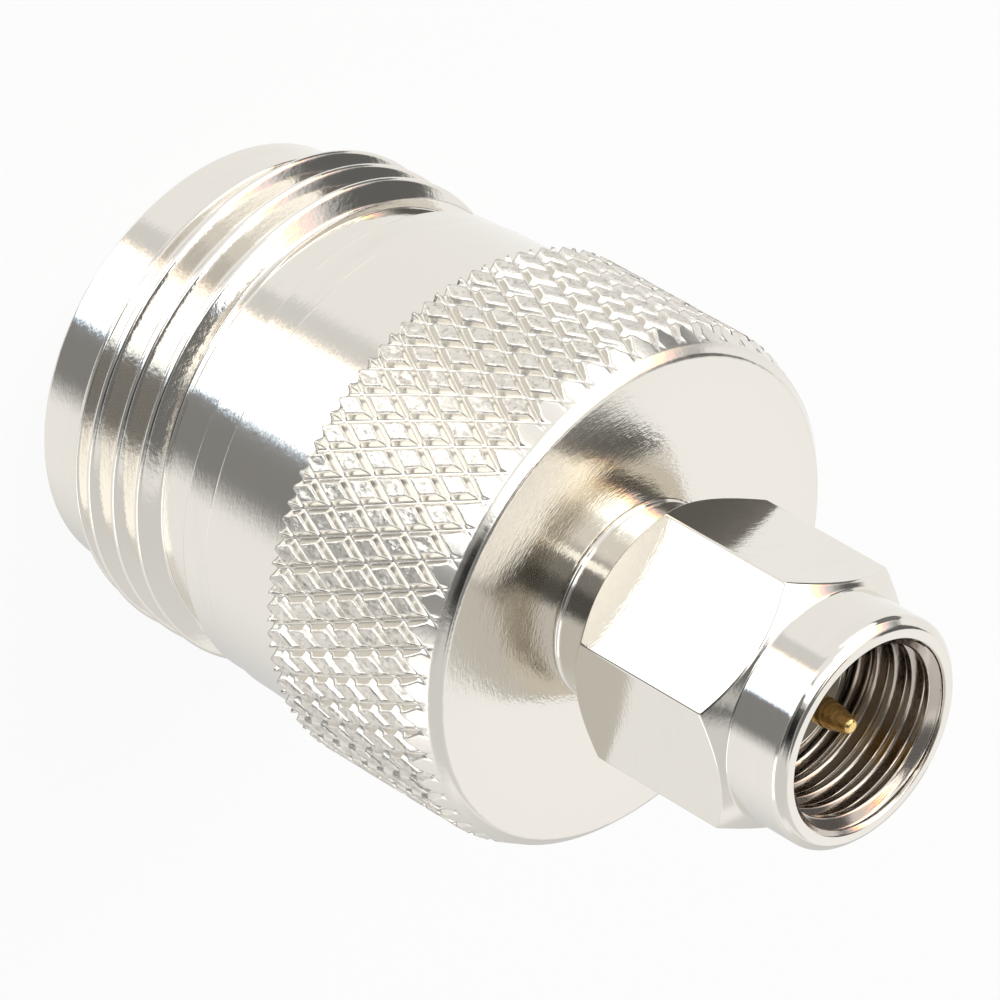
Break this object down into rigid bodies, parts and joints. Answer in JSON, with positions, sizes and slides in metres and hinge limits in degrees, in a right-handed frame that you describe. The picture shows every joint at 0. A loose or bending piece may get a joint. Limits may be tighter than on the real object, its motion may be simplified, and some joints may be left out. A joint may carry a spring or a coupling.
{
  "type": "coaxial adapter",
  "caption": "Straight coaxial adapter: a large threaded socket at one end, a diamond-knurled body, and a small hexagonal coupling nut around a gilt centre pin.",
  "frame": {"origin": "centre of the large socket's open mouth, in the plane of its flat rim, which the adapter stands on", "axes": "+Z along the adapter's axis, from the large socket to the small plug; +X towards a corner of the hexagonal nut at rest"},
  "size_m": [0.0168, 0.0168, 0.0279],
  "materials": {
    "nickel_plate": "bright nickel plate over turned brass",
    "gilding": "bright gold plate",
    "white_dielectric": "smooth waxy white fluoropolymer",
    "spring_bronze": "bare spring bronze"
  },
  "bodies": {
    "adapter": {"socket_barrel": "nickel_plate", "rear_body": "nickel_plate", "plug_shell": "nickel_plate", "socket_insulator": "white_dielectric", "plug_insulator": "white_dielectric", "socket_contact": "gilding", "centre_pin": "gilding"},
    "ring": {"retaining_ring": "spring_bronze"},
    "nut": {"coupling_nut": "nickel_plate"}
  },
  "joints": [
    {"name": "ring_float", "type": "slide", "parent": "adapter", "child": "ring", "axis": [0, 0, 1], "range_m": [0, 0.0002]},
    {"name": "nut_spin", "type": "hinge", "parent": "ring", "child": "nut", "pos_m": [0, 0, 0.02], "axis": [0, 0, 1], "continuous": true}
  ]
}
